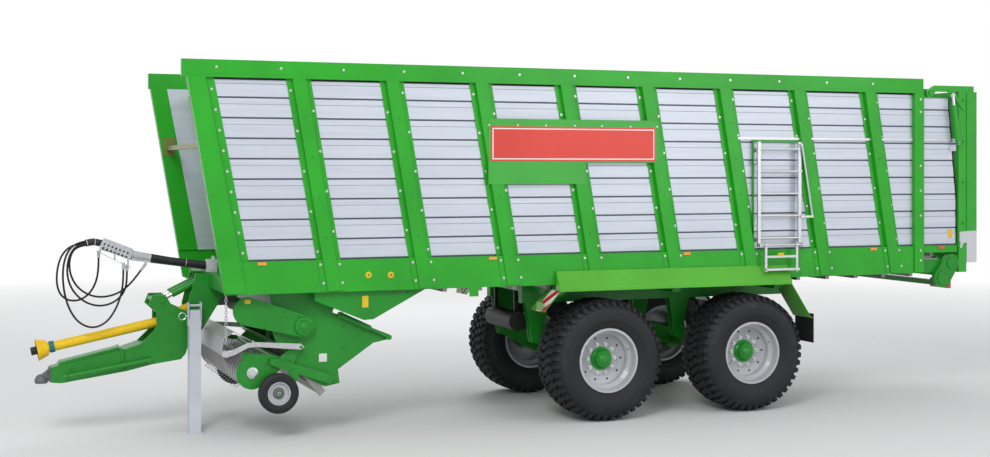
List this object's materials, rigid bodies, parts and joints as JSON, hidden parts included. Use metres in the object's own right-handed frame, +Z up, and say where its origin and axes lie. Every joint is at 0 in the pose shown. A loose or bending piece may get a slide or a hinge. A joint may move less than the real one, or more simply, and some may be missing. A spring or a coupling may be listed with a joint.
{
  "type": "loader wagon",
  "caption": "Tandem-axle loader wagon with a planked steel body, pick-up, feed rotor, hinged drawbar and tailgate.",
  "frame": {"origin": "on the ground, at the middle of the length and of the width", "axes": "+X rearwards from the drawbar to the tailgate, +Y to the right-hand side as driven, +Z up"},
  "size_m": [11.0001, 2.7562, 3.85],
  "materials": {
    "body_green": "gloss paint",
    "frame_green": "gloss paint",
    "mudguard_green": "high-gloss paint",
    "plank_silver": "coated sheet, silver",
    "aluminium": "bare aluminium",
    "sign_red": "gloss paint, bare",
    "black_paint": "satin black paint",
    "bare_steel": "worn bright steel",
    "zinc": "galvanised",
    "cast": "painted casting",
    "rim_silver": "silver paint",
    "tie_olive": "satin paint",
    "tyre_rubber": "tyre rubber",
    "soft_rubber": "rubber sheet",
    "hose_rubber": "smooth hose rubber",
    "chrome_rod": "chromed rod",
    "lamp_amber": "clear amber lens",
    "shaft_yellow": "moulded guard"
  },
  "bodies": {
    "wagon": {"side_frame_left": "body_green", "side_frame_right": "body_green", "side_planks_left": "plank_silver", "side_planks_right": "plank_silver", "chassis": "frame_green", "floor_deck": "bare_steel", "floor_chains": "bare_steel", "floor_drive": "frame_green", "front_wall": "body_green", "tie_bar": "tie_olive", "sign_panels": "sign_red", "mudguards": "mudguard_green", "mud_flaps": "soft_rubber", "axle_front": "frame_green", "axle_rear": "frame_green", "air_tank": "black_paint", "rotor_housing": "frame_green", "knife_bank": "bare_steel", "drive_case": "frame_green", "main_gearbox": "cast", "pto_rear": "shaft_yellow", "hose_holder": "zinc", "hose_one": "hose_rubber", "hose_two": "hose_rubber", "hose_three": "hose_rubber", "hose_four": "hose_rubber", "lamps": "lamp_amber"},
    "wheel_front_left": {"tyre_front_left": "tyre_rubber", "rim_front_left": "rim_silver"},
    "wheel_front_right": {"tyre_front_right": "tyre_rubber", "rim_front_right": "rim_silver"},
    "steering_left": {"knuckle_left": "frame_green"},
    "steering_right": {"knuckle_right": "frame_green"},
    "steering_link": {"tie_rod": "frame_green"},
    "wheel_rear_left": {"tyre_rear_left": "tyre_rubber", "rim_rear_left": "rim_silver"},
    "wheel_rear_right": {"tyre_rear_right": "tyre_rubber", "rim_rear_right": "rim_silver"},
    "rotor": {"feed_rotor": "frame_green"},
    "pickup": {"pickup_frame": "frame_green", "strippers": "zinc"},
    "reel": {"pickup_reel": "bare_steel"},
    "guard": {"crop_guard": "zinc", "guard_tines": "bare_steel"},
    "gauge_wheel_left": {"gauge_tyre_left": "tyre_rubber", "gauge_rim_left": "rim_silver"},
    "gauge_wheel_right": {"gauge_tyre_right": "tyre_rubber", "gauge_rim_right": "rim_silver"},
    "hitch": {"drawbar": "frame_green", "ball_coupling": "cast", "pto_front": "shaft_yellow"},
    "hitch_barrels": {"draw_barrels": "frame_green"},
    "hitch_rods": {"draw_rods": "chrome_rod"},
    "jack": {"jack_leg": "zinc"},
    "tail": {"tailgate": "body_green"},
    "tail_cylinders": {"tail_barrels": "frame_green"},
    "tail_pistons": {"tail_rods": "chrome_rod"},
    "door": {"side_door": "plank_silver", "ladder": "aluminium"},
    "step": {"ladder_step": "aluminium"}
  },
  "joints": [
    {"name": "wheel_front_left_spin", "type": "hinge", "parent": "wagon", "child": "wheel_front_left", "pos_m": [0.455, -1.075, 0.6665], "axis": [0, 1, 0], "continuous": true},
    {"name": "wheel_front_right_spin", "type": "hinge", "parent": "wagon", "child": "wheel_front_right", "pos_m": [0.455, 1.075, 0.6665], "axis": [0, 1, 0], "continuous": true},
    {"name": "steering_left_turn", "type": "hinge", "parent": "wagon", "child": "steering_left", "pos_m": [2.275, -0.7, 0.6665], "axis": [0, 0, 1], "range_deg": [-12, 12]},
    {"name": "steering_right_turn", "type": "hinge", "parent": "wagon", "child": "steering_right", "pos_m": [2.275, 0.7, 0.6665], "axis": [0, 0, 1], "range_deg": [-12, 12]},
    {"name": "steering_link_turn", "type": "hinge", "parent": "steering_left", "child": "steering_link", "pos_m": [2.505, -0.7, 0.5815], "axis": [0, 0, 1], "range_deg": [-12, 12]},
    {"name": "wheel_rear_left_spin", "type": "hinge", "parent": "steering_left", "child": "wheel_rear_left", "pos_m": [2.275, -1.075, 0.6665], "axis": [0, 1, 0], "continuous": true},
    {"name": "wheel_rear_right_spin", "type": "hinge", "parent": "steering_right", "child": "wheel_rear_right", "pos_m": [2.275, 1.075, 0.6665], "axis": [0, 1, 0], "continuous": true},
    {"name": "rotor_spin", "type": "hinge", "parent": "wagon", "child": "rotor", "pos_m": [-2.89, 0, 1.15], "axis": [0, 1, 0], "continuous": true},
    {"name": "pickup_lower", "type": "hinge", "parent": "wagon", "child": "pickup", "pos_m": [-2.603, 0, 0.591], "axis": [0, -1, 0], "range_deg": [0, 30]},
    {"name": "reel_spin", "type": "hinge", "parent": "pickup", "child": "reel", "pos_m": [-3.409, 0, 0.688], "axis": [0, 1, 0], "continuous": true},
    {"name": "guard_float", "type": "hinge", "parent": "pickup", "child": "guard", "pos_m": [-2.925, 0, 0.942], "axis": [0, 1, 0], "range_deg": [0, 5]},
    {"name": "gauge_wheel_left_spin", "type": "hinge", "parent": "pickup", "child": "gauge_wheel_left", "pos_m": [-3.165, -1.102, 0.485], "axis": [0, 1, 0], "continuous": true},
    {"name": "gauge_wheel_right_spin", "type": "hinge", "parent": "pickup", "child": "gauge_wheel_right", "pos_m": [-3.165, 1.102, 0.485], "axis": [0, 1, 0], "continuous": true},
    {"name": "hitch_swing", "type": "hinge", "parent": "wagon", "child": "hitch", "pos_m": [-3.85, 0, 1.13], "axis": [0, 1, 0], "range_deg": [-12, 6]},
    {"name": "hitch_barrels_swing", "type": "hinge", "parent": "wagon", "child": "hitch_barrels", "pos_m": [-3.78, 0, 1.586], "axis": [0, 1, 0], "range_deg": [-5.4, 2.8]},
    {"name": "hitch_rods_slide", "type": "slide", "parent": "hitch_barrels", "child": "hitch_rods", "axis": [-0.9014, 0, -0.4331], "range_m": [-0.041, 0.08]},
    {"name": "jack_slide", "type": "slide", "parent": "wagon", "child": "jack", "axis": [0, 0, 1], "range_m": [-0.15, 0]},
    {"name": "tail_swing", "type": "hinge", "parent": "wagon", "child": "tail", "pos_m": [4.81, 0, 3.679], "axis": [0, -1, 0], "range_deg": [0, 80]},
    {"name": "tail_cylinders_swing", "type": "hinge", "parent": "wagon", "child": "tail_cylinders", "pos_m": [5.185, 0, 3.072], "axis": [0, -1, 0], "range_deg": [0, 11.2]},
    {"name": "tail_pistons_slide", "type": "slide", "parent": "tail_cylinders", "child": "tail_pistons", "axis": [-0.1355, 0, 0.9908], "range_m": [0, 0.356]},
    {"name": "door_swing", "type": "hinge", "parent": "wagon", "child": "door", "pos_m": [2.345, -1.262, 2.4], "axis": [0, 0, -1], "range_deg": [0, 95]},
    {"name": "step_fold", "type": "hinge", "parent": "door", "child": "step", "pos_m": [2.65, -1.329, 1.89], "axis": [-1, 0, 0], "range_deg": [0, 90]}
  ],
  "couplings": [
    {"joint": "steering_right_turn", "follows": "steering_left_turn", "ratio": 1},
    {"joint": "steering_link_turn", "follows": "steering_left_turn", "ratio": -1},
    {"joint": "hitch_barrels_swing", "follows": "hitch_swing", "ratio": 0.432},
    {"joint": "hitch_rods_slide", "follows": "hitch_swing", "m_per_rad": -0.374},
    {"joint": "tail_cylinders_swing", "follows": "tail_swing", "ratio": 0.136},
    {"joint": "tail_pistons_slide", "follows": "tail_swing", "m_per_rad": 0.2528}
  ]
}
